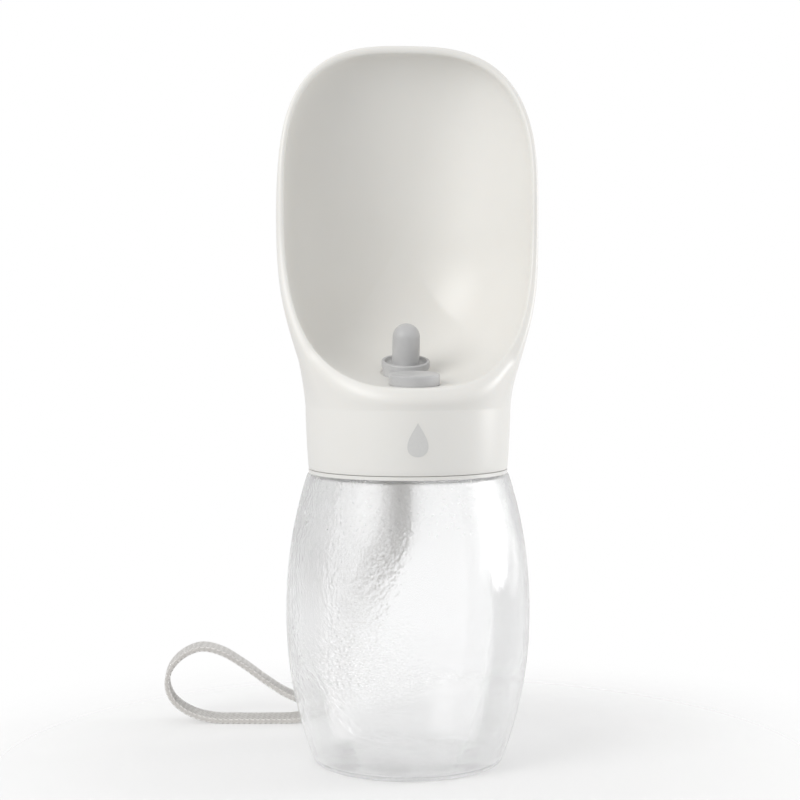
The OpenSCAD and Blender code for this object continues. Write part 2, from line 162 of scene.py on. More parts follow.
# one output of a shader node, so that sums on it read as sums
class Val:
    def __init__(self, tree, socket):
        self.tree, self.socket = tree, socket

    def calc(self, operation, *values):
        return addNode(self.tree, "ShaderNodeMath", {"operation": operation}, dict(enumerate(values)))

    def __add__(self, other):
        return self.calc("ADD", self, other)

    def __radd__(self, other):
        return self.calc("ADD", other, self)

    def __sub__(self, other):
        return self.calc("SUBTRACT", self, other)

    def __rsub__(self, other):
        return self.calc("SUBTRACT", other, self)

    def __mul__(self, other):
        return self.calc("MULTIPLY", self, other)

    def __rmul__(self, other):
        return self.calc("MULTIPLY", other, self)

    def __truediv__(self, other):
        return self.calc("DIVIDE", self, other)

    def __rtruediv__(self, other):
        return self.calc("DIVIDE", other, self)

    def __neg__(self):
        return self.calc("MULTIPLY", self, -1.0)

    def sine(self):
        return self.calc("SINE", self)

    def size(self):
        return self.calc("ABSOLUTE", self)

    def fraction(self):
        return self.calc("FRACT", self)

    def atLeast(self, other):
        return self.calc("MAXIMUM", self, other)

    # 0 below low, 1 above high, smooth between them
    def ramp(self, low, high):
        return addNode(self.tree, "ShaderNodeMapRange", {"interpolation_type": "SMOOTHSTEP"},
                       {0: self, 1: low, 2: high, 3: 0.0, 4: 1.0})

    def other(self, name):
        return Val(self.tree, self.socket.node.outputs[name])


# a node of any kind: its settings, and what goes into its sockets
def addNode(tree, kind, settings, values, out=0):
    node = tree.nodes.new(kind)
    for name, value in settings.items():
        setattr(node, name, value)
    for key, value in values.items():
        if isinstance(value, Val):
            tree.links.new(value.socket, node.inputs[key])
        else:
            node.inputs[key].default_value = value
    return Val(tree, node.outputs[out])


# a Mix node for colours: its colours are inputs 6 and 7, and the mixed one is output 2
def mixColour(tree, factor, a, b):
    return addNode(tree, "ShaderNodeMix", {"data_type": "RGBA"}, {0: factor, 6: a, 7: b}, 2)


def noise(tree, point, scale, detail=2.0, roughness=0.5):
    return addNode(tree, "ShaderNodeTexNoise", {},
                   {"Vector": point, "Scale": scale, "Detail": detail, "Roughness": roughness})


def bump(tree, height, distance, strength):
    values = {"Height": height, "Distance": distance, "Strength": strength}
    return addNode(tree, "ShaderNodeBump", {}, values)


# a wave of 0 to 1 that repeats once for every 1 of value
def wave(value):
    return (value * (2 * math.pi)).sine() * 0.5 + 0.5


def objectPoint(tree):
    return addNode(tree, "ShaderNodeTexCoord", {}, {}, "Object")


# a new material: paint gets its tree and returns what its surface is
def newMaterial(name, paint):
    material = bpy.data.materials.new(name)
    material.use_nodes = True
    tree = material.node_tree
    tree.nodes.clear()
    output = tree.nodes.new("ShaderNodeOutputMaterial")
    tree.links.new(paint(tree).socket, output.inputs["Surface"])
    return material


def principled(tree, **values):
    sockets = {name.replace("_", " "): value for name, value in values.items()}
    return addNode(tree, "ShaderNodeBsdfPrincipled", {}, sockets)


def colour(r, g, b):
    return (r, g, b, 1.0)


# where the photograph was taken from, in metres and degrees
cameraSettings = {"distance": 0.543, "height": 0.133, "azimuth": -5.3, "lens": 83.1,
                  "sensor": 36, "shiftX": -0.01, "shiftY": -0.1163, "nearest": 0.01, "farthest": 50}


def makeCamera(s):
    data = bpy.data.cameras.new("photo_camera")
    data.lens, data.sensor_width = s["lens"], s["sensor"]
    data.shift_x, data.shift_y = s["shiftX"], s["shiftY"]
    data.clip_start, data.clip_end = s["nearest"], s["farthest"]
    camera = bpy.data.objects.new("photo_camera", data)
    bpy.context.scene.collection.objects.link(camera)
    a = math.radians(s["azimuth"])
    camera.location = (math.sin(a) * s["distance"], -math.cos(a) * s["distance"], s["height"])
    camera.rotation_euler = (math.radians(90), 0, a)
    bpy.context.scene.camera = camera


makeCamera(cameraSettings)
print("camera in place")


# the webbing's dark colour is painted shade for the low places of its weave
webbing = {"width": 10, "thickness": 1.6, "barY": 37.433, "barZ": 84.1, "sewnZ": 66.1, "joinZ": 77.1,
           "leg": 0.83, "turnRadius": 2.35, "rib": 1.7, "ribSlant": 1.5, "stripe": 2.5, "yarn": 0.29,
           "yarnSlant": 4.0, "relief": 0.5, "wobble": 0.008, "light": colour(0.95, 0.935, 0.91),
           "dull": colour(0.83, 0.81, 0.785), "dark": colour(0.54, 0.515, 0.49)}


# flat woven webbing: slanted ribs that turn at every stripe, fine yarn on them, and a plain edge; its colour
# carries painted shade, dark where the weave lies low
def paintWebbing(tree):
    s = webbing
    place = addNode(tree, "ShaderNodeUVMap", {"uv_map": "weave"}, {})
    across = addNode(tree, "ShaderNodeSeparateXYZ", {}, {0: place})
    along = across.other("Y")
    slant = ((across / s["stripe"]).fraction() - 0.5).size()
    rib = wave(along / s["rib"] + slant * s["ribSlant"])
    yarn = wave(along / s["yarn"] - slant * s["yarnSlant"])
    point = objectPoint(tree)
    fuzz = noise(tree, point, 2600.0, 4.0, 0.7)
    blotch = noise(tree, point, 160.0, 2.0)
    stripeEdge = slant.ramp(0.0, 0.1) * (0.5 - slant).ramp(0.0, 0.1)
    height = rib * 0.75 * stripeEdge + yarn * 0.12 + fuzz * 0.25
    light = mixColour(tree, blotch.ramp(0.3, 0.7) * 0.35, s["light"], s["dull"])
    # painted shade: the weave's low places and the stripe turns take the dark colour
    shade = mixColour(tree, height.ramp(0.02, 0.5), s["dark"], light)
    return principled(tree, Base_Color=shade, Roughness=0.86, Sheen_Weight=0.3, Sheen_Roughness=0.5,
                      Specular_IOR_Level=0.25, Normal=bump(tree, height, s["relief"] * mm, 0.9))


webbingMaterial = newMaterial("woven_webbing", paintWebbing)

# the two runs of webbing hang on either side of the bar's middle
legBack, legFront = webbing["barY"] - webbing["leg"], webbing["barY"] + webbing["leg"]

# places along the middle of the webbing, each with its width's turn from X in degrees, as in the CAD
strapRoute = np.array([
    [0, legBack, webbing["sewnZ"], 0], [-1, 37.2, 60, 8], [-3.6, 39, 53, 26], [-7, 41.2, 46, 46],
    [-10.2, 43.6, 39, 63], [-13, 45.6, 32, 76], [-15.2, 47.2, 25, 86], [-16.8, 48.6, 18, 90],
    [-18.4, 50, 11.5, 90], [-21.4, 51.4, 5.8, 90], [-26, 52.6, 2.4, 90], [-32, 53.6, 1.1, 90],
    [-40, 54.4, 0.9, 90], [-49, 55.2, 0.9, 90], [-57, 56, 1.1, 90], [-64, 56.8, 2.8, 90],
    [-69.6, 57.4, 6.4, 90], [-72.2, 57.8, 11.4, 90], [-71.4, 57.8, 16.8, 90],
    [-67.4, 57.4, 21.4, 90], [-61.4, 56.8, 23.8, 90], [-54.8, 56.2, 22.4, 90],
    [-48, 55.6, 18.4, 90], [-41, 54.8, 13.4, 90], [-35, 53.8, 9.6, 90], [-30.2, 52.8, 8, 90],
    [-26.8, 51.6, 9.8, 90], [-24.6, 50.2, 14.4, 90], [-22.8, 48.6, 20.2, 90], [-20.6, 47.2, 26.8, 86],
    [-18, 46.1, 33.2, 76], [-14.6, 44.8, 39.8, 63], [-10.8, 43, 46.4, 46], [-6.2, 41.2, 53.2, 26],
    [-2, 39.4, 60.1, 8], [0, legFront, webbing["sewnZ"], 0]])


# smooth line through points, as in the CAD, steps places to each stretch
def through(p, steps):
    n = len(p) - 1
    line = []
    for i in range(n):
        a, b, c, d = p[max(0, i - 1)], p[i], p[i + 1], p[min(n, i + 2)]
        for k in range(steps):
            t = k / steps
            line.append(b + t * (c - a) / 2 + t * t * (a - 2.5 * b + 2 * c - d / 2)
                        + t ** 3 * (3 * b - a - 3 * c + d) / 2)
    line.append(p[n])
    return np.array(line)


# a band of webbing along a centreline, wide holding the direction of its width at each place
def bandMesh(centre, wide, ways):
    half, thick = webbing["width"] / 2, webbing["thickness"] / 2
    quarter = [(1, 0), (0.992, 0.45), (0.965, 0.8), (0.93, 0.98), (0.86, 0.9), (0.8, 0.99), (0.6, 1),
               (0.4, 0.98), (0.2, 1), (0, 0.98)]
    top = quarter + [(-u, v) for u, v in quarter[-2:0:-1]]
    edge = [(half * u, thick * v) for u, v in top]
    edge += [(-u, -v) for u, v in edge]
    count = len(edge)
    run = np.concatenate([[0], np.cumsum(np.linalg.norm(np.diff(centre, axis=0), axis=1))])
    points, uvs = [], []
    for i, here in enumerate(centre):
        out = np.cross(ways[i], wide[i])
        wobble = 1 - webbing["wobble"] * (0.5 + 0.5 * math.sin(2 * math.pi * run[i] / webbing["rib"]))
        for u, v in edge:
            points.append(here + wide[i] * u * wobble + out * v)
            uvs.append((u + half, run[i]))
    rows = len(centre)
    faces = ringFaces(rows, count)
    faces.append(tuple(range(count)))
    faces.append(tuple((rows - 1) * count + i for i in reversed(range(count))))
    return points, faces, uvs


def makeStrapLoop():
    line = through(strapRoute, 22)
    centre = line[:, :3]
    ways = np.gradient(centre, axis=0)
    ways[0], ways[-1] = [0, 0, -1], [0, 0, 1]
    ways = unit(ways)
    turn = np.radians(line[:, 3])
    flat = np.stack([np.cos(turn), np.sin(turn), np.zeros(len(turn))], 1)
    wide = unit(flat - ways * (flat * ways).sum(1, keepdims=True))
    points, faces, uvs = bandMesh(centre, wide, ways)
    piece = buildMesh("wrist_strap", points, faces, webbingMaterial, sharpAngle=60, uvs=uvs)
    settle(piece, "bottle_and_strap", ["strap_loop"])
    length = float(np.linalg.norm(np.diff(centre, axis=0), axis=1).sum()) * mm
    return length


strapLength = makeStrapLoop()
print(f"wrist strap laid out, {strapLength * 1000:.0f} mm")


# the end of the webbing, sewn double and looped round the bar
def makeBight():
    s = webbing
    line = [[legBack, s["sewnZ"]], [legBack, (s["sewnZ"] + s["joinZ"]) / 2], [legBack, s["joinZ"]],
            [s["barY"] - mix(s["leg"], s["turnRadius"], 0.5), mix(s["joinZ"], s["barZ"], 0.45)]]
    arc = 12
    for i in range(arc + 1):
        a = math.pi * (1 - i / arc)
        line.append([s["barY"] + s["turnRadius"] * math.cos(a), s["barZ"] + s["turnRadius"] * math.sin(a)])
    line += [[2 * s["barY"] - y, z] for y, z in reversed(line[:4])]
    fine = through(np.array(line), 6)
    centre = np.stack([np.zeros(len(fine)), fine[:, 0], fine[:, 1]], 1)
    ways = unit(np.gradient(centre, axis=0))
    wide = np.tile([1.0, 0.0, 0.0], (len(fine), 1))
    points, faces, uvs = bandMesh(centre, wide, ways)
    piece = buildMesh("strap_end", points, faces, webbingMaterial, sharpAngle=60, uvs=uvs)
    settle(piece, "bottle_and_strap", ["strap_bight"])


makeBight()

stitches = {"across": 5, "margin": 2, "length": 1.5, "radius": 0.24, "flat": 0.7, "rows": (0.2, 0.8),
            "lift": 0.25, "proud": 0.55, "dip": 1.5, "skew": 0.06, "twist": 0.35, "grain": 0.05,
            "colour": colour(0.62, 0.61, 0.59), "light": colour(0.86, 0.85, 0.83)}


# twisted sewing thread, with painted shade between the plies of its twist
def paintThread(tree):
    s = stitches
    point = objectPoint(tree)
    parts = addNode(tree, "ShaderNodeSeparateXYZ", {}, {0: point})
    twist = ((parts + parts.other("Z") * 0.8) * (2 * math.pi / (s["twist"] * mm))).sine() * 0.5 + 0.5
    fuzz = noise(tree, point, 6000.0, 3.0, 0.7)
    # painted shade: darker in the grooves between plies, lighter on their crests
    shade = mixColour(tree, twist * 0.7 + fuzz * 0.3, s["colour"], s["light"])
    return principled(tree, Base_Color=shade, Roughness=0.6, Sheen_Weight=0.2,
                      Normal=bump(tree, twist + fuzz * 0.4, s["grain"] * mm, 0.8))


# each stitch is a short twisted thread that dips into the webbing at both ends
def makeStitches():
    s = stitches
    rings, sides = 9, 8
    ends = [tuple(range(sides)), tuple((rings - 1) * sides + m for m in reversed(range(sides)))]
    parts = []
    step = (webbing["width"] - s["margin"]) / s["across"]
    for face in (-1, 1):
        surface = webbing["barY"] + face * (webbing["leg"] + webbing["thickness"] / 2)
        for row in s["rows"]:
            z = mix(webbing["sewnZ"], webbing["joinZ"], row) + s["lift"]
            for i in range(s["across"]):
                middle = (i - (s["across"] - 1) / 2) * step
                points = []
                for k in range(rings):
                    t = k / (rings - 1) * 2 - 1
                    rise = s["radius"] * (s["proud"] - s["dip"] * t ** 4)
                    for m in range(sides):
                        a = 2 * math.pi * m / sides
                        points.append((middle + t * s["length"] / 2,
                                       surface + face * rise + face * s["radius"] * s["flat"] * math.sin(a),
                                       z + s["radius"] * math.cos(a) + s["skew"] * t))
                parts.append((points, ringFaces(rings, sides) + ends))
    points, faces = joined(*parts)
    material = newMaterial("sewing_thread", paintThread)
    piece = buildMesh("strap_stitches", points, faces, material, sharpAngle=60)
    settle(piece, "bottle_and_strap", ["strap_stitching"])


makeStitches()
print("strap end and stitches made")


bottle = {"radius": 35.7, "middle": 44, "baseDraw": 8.5, "baseCurve": 2.13, "shoulderDraw": 6.3,
          "shoulderCurve": 2.1, "shoulder": 84.6, "plate": 0.75, "wall": 1.3, "edge": 2.2, "pushUpRadius": 20,
          "pushUp": 3, "crownAt": 0.6, "crownRise": 0.8, "crownRound": 6, "neckRadius": 24.2, "neckTop": 99.0,
          "neckWall": 1.8, "pitch": 4.5, "threadTurns": 1.5, "ridgeHeight": 1.3, "ridgeWidth": 2.1,
          "threadStart": 89.0}

# where the pits and the frosted top begin and end is in metres, to the left and up
clearPlastic = {"tint": colour(0.99, 0.992, 0.995), "solid": 0.62, "through": 0.94, "pitSize": 1150.0,
                "pitDepth": 0.22, "pitsLeft": (-0.004, 0.012), "pitsEdge": (0.018, 0.031),
                "pitsLow": (0.008, 0.03), "pitsHigh": (0.06, 0.08), "frosted": (0.052, 0.072)}


# the barrel's outer radius at a height
def barrelRadius(z):
    s = bottle
    if z < s["middle"]:
        return s["radius"] - s["baseDraw"] * ((s["middle"] - z) / s["middle"]) ** s["baseCurve"]
    part = (z - s["middle"]) / (s["shoulder"] - s["middle"])
    return s["radius"] - s["shoulderDraw"] * part ** s["shoulderCurve"]


# clear plastic blown against a lightly pitted mould, so that what is behind it breaks into speckles
def paintBottle(tree):
    s = clearPlastic
    point = objectPoint(tree)
    pits = addNode(tree, "ShaderNodeTexVoronoi", {"feature": "SMOOTH_F1"},
                   {"Vector": point, "Scale": s["pitSize"], "Smoothness": 0.7, "Randomness": 1.0})
    peel = noise(tree, point, s["pitSize"] * 0.55, 2.0, 0.55)
    parts = addNode(tree, "ShaderNodeSeparateXYZ", {}, {0: point})
    up = parts.other("Z")
    left = (-parts).ramp(*s["pitsLeft"]) * (1 - (-parts).ramp(*s["pitsEdge"]) * 0.75)
    pitted = left * up.ramp(*s["pitsLow"]) * (1 - up.ramp(*s["pitsHigh"]) * 0.6)
    haze = noise(tree, point, 14.0, 3.0, 0.55)
    scuff = noise(tree, point, 900.0, 3.0, 0.6)
    height = (pits * 0.8 + peel * 1.1) * (0.1 + pitted * 0.9)
    rough = 0.05 + scuff.ramp(0.5, 0.8) * 0.05 + up.ramp(*s["frosted"]) * 0.2
    normal = bump(tree, height, s["pitDepth"] * mm, 1.0)
    return principled(tree, Base_Color=s["tint"], Roughness=rough, IOR=1.4,
                      Alpha=s["solid"] + haze.ramp(0.35, 0.7) * 0.1, Transmission_Weight=s["through"],
                      Specular_IOR_Level=0.4, Normal=normal)


bottleMaterial = newMaterial("clear_pitted_plastic", paintBottle)


# the neck's thread: a wound bar with a rounded crest that fades at both ends
def threadMesh():
    s = bottle
    perTurn = 72
    rings = round(s["threadTurns"] * perTurn)
    section = [(-0.35, -0.5), (-0.35, 0.5), (0.1, 0.46), (0.75, 0.27), (1, 0.17), (1, -0.17), (0.75, -0.27),
               (0.1, -0.46)]
    count = len(section)
    points = []
    for i in range(rings + 1):
        a, z = 2 * math.pi * i / perTurn, s["threadStart"] + s["pitch"] * i / perTurn
        grow = min(1, 0.1 + 5 * min(i, rings - i) / perTurn)
        for u, v in section:
            r = s["neckRadius"] + u * (s["ridgeHeight"] * grow if u > 0 else 1)
            points.append((r * math.cos(a), r * math.sin(a), z + v * s["ridgeWidth"]))
    faces = ringFaces(rings + 1, count)
    faces += [tuple(range(count)), tuple(rings * count + k for k in reversed(range(count)))]
    return points, faces


def makeBottle():
    s = bottle
    edgeAt = (1 - s["edge"] / s["middle"]) ** (s["baseCurve"] - 1)
    lean = math.atan(s["baseDraw"] * s["baseCurve"] / s["middle"] * edgeAt)
    low, top = s["edge"] * (1 - math.sin(lean)), s["shoulder"]
    plate, bore = top - s["plate"], s["neckRadius"] - s["neckWall"]
    centre = (barrelRadius(low) - s["edge"] * math.cos(lean), s["edge"])
    crown = (s["pushUpRadius"] * s["crownAt"], s["pushUp"] * s["crownRise"])
    outside = roundLine([(0, s["pushUp"]), (*crown, s["crownRound"]), (s["pushUpRadius"], 0, 1.4),
                         (centre[0], 0)], 7)
    arc = 9
    for i in range(1, arc + 1):
        a = math.radians(-90) + (math.radians(90) - lean) * i / arc
        outside.append((centre[0] + s["edge"] * math.cos(a), centre[1] + s["edge"] * math.sin(a)))
    outside += [(barrelRadius(z), z) for z in np.linspace(low + 0.6, top - 1.1, 90)]
    outside += roundLine([(barrelRadius(top - 1.1), top - 1.1), (barrelRadius(top) - 0.1, top, 0.7),
                          (s["neckRadius"], top, 0.8), (s["neckRadius"], s["neckTop"], 0.5),
                          (bore, s["neckTop"], 0.5), (bore, plate, 1.2),
                          (barrelRadius(top - 1.3) - s["wall"], plate, 0.8),
                          (barrelRadius(top - 3) - s["wall"], top - 3)], 6)[1:]
    inside = [(barrelRadius(z) - s["wall"], z) for z in np.linspace(top - 4, low + 2.6, 80)]
    inside += roundLine([(barrelRadius(low + 2) - s["wall"], low + 2), (centre[0] + 0.9, s["wall"], 1.6),
                         (s["pushUpRadius"], s["wall"], 1.6),
                         (crown[0], crown[1] + s["wall"], s["crownRound"]), (0, s["pushUp"] + s["wall"])], 7)
    piece = buildMesh("bottle_shell", *latheMesh(outside + inside, 160), bottleMaterial, sharpAngle=50)
    settle(piece, "bottle_and_strap", ["bottle"])
    ridge = buildMesh("bottle_thread", *threadMesh(), bottleMaterial, sharpAngle=50)
    settle(ridge, "bottle_and_strap")


makeBottle()
print("bottle blown")


plastic = {"colour": colour(0.835, 0.825, 0.795), "shade": colour(0.81, 0.797, 0.765), "rough": 0.36,
           "grain": 0.012, "speck": 1400.0}


# moulded plastic: a fine spark-eroded grain, faint flow streaks and softly varying gloss
def paintPlastic(tree):
    s = plastic
    point = objectPoint(tree)
    grain = noise(tree, point, s["speck"], 3.0, 0.6)
    flow = noise(tree, point, 26.0, 3.0, 0.5)
    tone = mixColour(tree, flow.ramp(0.35, 0.65) * 0.5, s["colour"], s["shade"])
    rough = s["rough"] + (grain - 0.5) * 0.12 + (flow - 0.5) * 0.08
    return principled(tree, Base_Color=tone, Roughness=rough, Specular_IOR_Level=0.45,
                      Subsurface_Weight=0.12, Subsurface_Radius=(0.004, 0.0035, 0.003), Subsurface_Scale=1.0,
                      Normal=bump(tree, grain, s["grain"] * mm, 0.6))


plasticMaterial = newMaterial("white_moulded_plastic", paintPlastic)


gasket = {"colour": colour(0.72, 0.72, 0.71), "shade": colour(0.6, 0.6, 0.59), "dust": 700.0, "grain": 0.02}


# milky silicone with a little dust
def paintGasket(tree):
    s = gasket
    point = objectPoint(tree)
    dust = noise(tree, point, s["dust"], 3.0, 0.6)
    shade = mixColour(tree, dust.ramp(0.4, 0.7), s["colour"], s["shade"])
    return principled(tree, Base_Color=shade, Roughness=0.5 + dust * 0.2, Transmission_Weight=0.25,
                      Normal=bump(tree, dust, s["grain"] * mm, 0.5))


# the solids that stay as the CAD has them get their materials
for name in ("carry_ring", "thread_insert", "neck_gasket"):
    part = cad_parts[name]
    made = newMaterial("clear_silicone", paintGasket) if name == "neck_gasket" else plasticMaterial
    if part.data.materials:
        for place in range(len(part.data.materials)):
            part.data.materials[place] = made
    else:
        part.data.materials.append(made)


scoop = {"around": 224, "collarZ": 85.7, "collarR": 29.15, "collarTopR": 30.1, "collarSwell": 1.6,
         "scoopZ": 104.0, "hollowZ": 103.0, "hollowR": 27.55, "floorT": 2.4,
         "rimHalf": 38.2, "rimMidZ": 164.0, "lipZ": 107.0, "lipInZ": 110.4, "rimTop": 46.6, "rimT": 1.8,
         "rimTopT": 2.6, "rimFront": 3, "rimSweep": 40, "sweepEase": 0.65, "rimLean": 8, "rimSquare": 2.9,
         "rimRound": 1.1, "lipRound": 1.6, "rimProud": 0.45, "footLead": 1.12, "footSwell": 2.4,
         "climbFront": 0.43, "climbRear": 0.72, "sideBack": 12, "topBack": 22, "sideDrop": 12,
         "swellFront": 2.4, "swellRear": 3.2, "flushSide": 0.3, "bulgeSide": 0.85,
         "bowlBack": 27.2, "bowlMiddle": 9, "bowlSpread": 20, "backLean": 0.1, "lipFall": 0.03,
         "sideRun": 13, "lipRun": 35.6, "topFall": 26, "lowFall": 34}
seats = {"plugX": -1, "plugAt": 0.275, "anchorAt": 0.09, "plugR": 7.1, "anchorR": 7.2, "gap": 0.3,
         "spoutR": 5.5, "stemR": 2.4, "slack": 0.05, "deep": 8, "high": 6}


# the rim seen from the front is a rounded square; seen from the side its lip sweeps forward
def rimPoints(a, half, low, high, r):
    s = scoop
    h = np.where(np.cos(a) > 0, low, high)
    k = ((np.abs(np.sin(a)) / half) ** s["rimSquare"]
         + (np.abs(np.cos(a)) / h) ** s["rimSquare"]) ** (-1 / s["rimSquare"])
    x = k * np.sin(a)
    low = np.maximum(0, np.cos(a)) ** 2
    soft = s["rimFront"] + s["rimSweep"] * low * low * (1 - s["sweepEase"] * low)
    front = -(np.maximum(0, r * r - x * x) ** 2 + soft ** 4) ** 0.25
    back = -s["rimFront"] + s["rimLean"] * (np.maximum(0, -np.cos(a)) * k / high) ** 2
    return np.stack([x, np.where(np.cos(a) > 0, front, back), s["rimMidZ"] - k * np.cos(a)], 1)


def rimOut(a):
    s = scoop
    return rimPoints(a, s["rimHalf"], s["rimMidZ"] - s["lipZ"], s["rimTop"], s["collarTopR"])


def rimIn(a):
    s = scoop
    return rimPoints(a, s["rimHalf"] - s["rimT"], s["rimMidZ"] - s["lipInZ"], s["rimTop"] - s["rimTopT"],
                     s["collarTopR"] - s["rimT"])


# where on the collar the skin's line starts: in front it leads, to stay below its end on the lip
def footAngle(a):
    return a + scoop["footLead"] * np.sin(a) * np.maximum(0, np.cos(a)) ** 2


# the outer skin climbs from the collar and comes forward to the rim
def skinLine(a):
    s = scoop
    sa, ca = np.sin(a), np.cos(a)
    zero = np.zeros(len(a))
    start, r = footAngle(a), s["collarTopR"]
    foot = np.stack([r * np.sin(start), -r * np.cos(start), zero + s["scoopZ"]], 1)
    tip = rimOut(a)
    side, rear = sa ** 2, (1 - ca) / 2
    back = np.where(ca > 0, s["sideBack"] * side ** 4, mix(s["topBack"], s["sideBack"], side))
    away = unit(np.stack([tip[:, 0], zero, tip[:, 2] - s["rimMidZ"] + 0.01], 1))
    climb = (tip[:, 2] - s["scoopZ"]) / 3 * (s["climbFront"] + s["climbRear"] * rear)
    first = foot + np.stack([s["footSwell"] * rear * sa, -s["footSwell"] * rear * ca, climb], 1)
    swell = mix(s["swellFront"], s["swellRear"], rear) * side
    bulge = np.stack([zero, back, -s["sideDrop"] * side], 1) + away * swell[:, None]
    own = np.where(ca > 0, np.clip((side - s["flushSide"]) / (s["bulgeSide"] - s["flushSide"]), 0, 1), 1)
    own = (own * own * (3 - 2 * own))[:, None]
    second = tip + bulge * own - (tip - foot) / 3 * (1 - own)
    return [foot, first, second, tip]


# the bowl's skin runs from the rim's inner edge to the middle of the back wall
def bowlLine(a):
    s = scoop
    tip = rimIn(a)
    low = np.maximum(0, np.cos(a))
    zero = 0 * low
    run, fall = mix(s["sideRun"], s["lipRun"], low ** 2), mix(s["topFall"], s["lowFall"], low)
    middle = np.array([0, s["bowlBack"], s["rimMidZ"] - s["bowlMiddle"]])
    up = unit(np.array([0, -s["backLean"], 1.0]))
    ahead = unit(np.stack([zero, 1 + zero, s["lipFall"] * low], 1))
    spread = np.stack([np.sin(a) * s["bowlSpread"], zero, zero], 1)
    near = middle + up * (-np.cos(a) * fall)[:, None] + spread
    return [tip, tip + ahead * run[:, None], near, np.tile(middle, (len(a), 1))]


floorLine = [p[0] for p in bowlLine(np.array([0.0]))]
halvings = 20  # how often a search on a curve halves its stretch


# a place on the line down the bowl's floor, and the floor's slope there
def floorPlace(t):
    here = bezier(floorLine, np.array([t]))[0]
    there = bezier(floorLine, np.array([t + 1e-4]))[0]
    return here, math.atan2(there[2] - here[2], there[1] - here[1])


def floorHeight(y):
    low, high = np.zeros_like(y), np.full_like(y, 0.85)
    for step in range(halvings):
        t = (low + high) / 2
        short = bezier(floorLine, t)[:, 1] < y
        low, high = np.where(short, t, low), np.where(short, high, t)
    return bezier(floorLine, low)[:, 2]


def tilted(x, seat, tilt):
    return Matrix.Translation(Vector((x, seat[1], seat[2]))) @ Matrix.Rotation(tilt, 4, "X")


plugPlace = tilted(seats["plugX"], *floorPlace(seats["plugAt"]))
anchorPlace = tilted(0, *floorPlace(seats["anchorAt"]))


# place on each line where it has come a distance away from its start
def awayFrom(lines, distance):
    low, high = np.zeros(len(lines[0])), np.full(len(lines[0]), 0.4)
    for step in range(halvings):
        t = (low + high) / 2
        near = np.linalg.norm(bezier(lines, t) - lines[0], axis=1) < distance
        low, high = np.where(near, t, low), np.where(near, high, t)
    return low


# the collar's outer radius at a share of its height
def collarRadius(t):
    s = scoop
    return mix(s["collarR"], s["collarTopR"], t * (s["collarSwell"] - (s["collarSwell"] - 1) * t))


# a curve from start to end that bends towards corner
def rounding(start, corner, end, t):
    return (1 - t) ** 2 * start + 2 * t * (1 - t) * corner + t * t * end


# rings from the hollow over the collar, the skin and the rim into the bowl
def scoopMesh():
    s = scoop
    a = np.arange(s["around"]) * 2 * math.pi / s["around"]
    zero = np.zeros(len(a))
    foot = footAngle(a)

    def circle(r, z):
        return np.stack([r * np.sin(foot), -r * np.cos(foot), zero + z], 1)

    def hollow(k):
        x, y = s["hollowR"] * k * np.sin(foot), -s["hollowR"] * k * np.cos(foot)
        z = floorHeight(y) - s["floorT"]
        return np.stack([x, y, s["hollowZ"] + np.maximum(0.5, z - s["hollowZ"]) * (1 - k ** 4)], 1)

    skin, bowl, outEdge, inEdge = skinLine(a), bowlLine(a), rimOut(a), rimIn(a)
    outRound = s["rimRound"] + s["lipRound"] * np.maximum(0, np.cos(a))
    outEnd = 1 - awayFrom(skin[::-1], outRound)
    inStart = awayFrom(bowl, s["rimRound"])
    face = np.linalg.norm(inEdge - outEdge, axis=1)
    inShare = np.minimum(0.42, s["rimRound"] / face)[:, None]
    outShare = np.minimum(0.5, outRound / face)[:, None]
    proud = np.clip(0.6 - np.cos(a), 0, 1)[:, None] * np.array([0, -s["rimProud"], 0])
    rings = [hollow(k) for k in (0.1, 0.25, 0.4, 0.55, 0.68, 0.8, 0.9, 0.96)]
    for r, z in ((s["hollowR"], s["hollowZ"]), (s["hollowR"], s["collarZ"] + 0.3),
                 (s["hollowR"] + 0.3, s["collarZ"]), (s["collarR"] - 0.35, s["collarZ"]),
                 (s["collarR"] - 0.08, s["collarZ"] + 0.12), (s["collarR"] + 0.01, s["collarZ"] + 0.4)):
        rings.append(circle(r, z))
    for t in np.linspace(0.08, 0.95, 10):
        rings.append(circle(collarRadius(t), mix(s["collarZ"], s["scoopZ"], t)))
    for t in np.linspace(0, 1, 44):
        rings.append(bezier(skin, outEnd * t))
    outFace = outEdge + (inEdge - outEdge) * outShare + proud
    inFace = inEdge + (outEdge - inEdge) * inShare + proud
    outCorner, inCorner = outEdge + proud * 0.75, inEdge + proud * 0.75
    start, end = bezier(skin, outEnd), bezier(bowl, inStart)
    rings += [rounding(start, outCorner, outFace, t) for t in np.linspace(0.14, 1, 7)]
    rings += [mix(outFace, inFace, t) for t in (0.33, 0.67)]
    rings += [rounding(inFace, inCorner, end, t) for t in np.linspace(0, 0.8, 5)]
    for t in np.linspace(0, 1, 64)[:-1]:
        rings.append(bezier(bowl, inStart + (1 - inStart) * t))
    points = [p for ring in rings for p in ring]
    pole = len(points)
    points += [hollow(0.0)[0], bowl[3][0]]
    return points, ringFaces(len(rings), s["around"], pole, pole + 1)


# takes the shape of cutter out of piece
def cutOut(piece, points, faces):
    cutter = buildMesh("cutter", points, faces, plasticMaterial)
    change = piece.modifiers.new("cut", "BOOLEAN")
    change.operation, change.solver, change.object = "DIFFERENCE", "EXACT", cutter
    bpy.context.view_layer.update()
    mesh = bpy.data.meshes.new_from_object(piece.evaluated_get(bpy.context.evaluated_depsgraph_get()))
    piece.modifiers.clear()
    old, piece.data = piece.data, mesh
    bpy.data.objects.remove(cutter)
    bpy.data.meshes.remove(old)


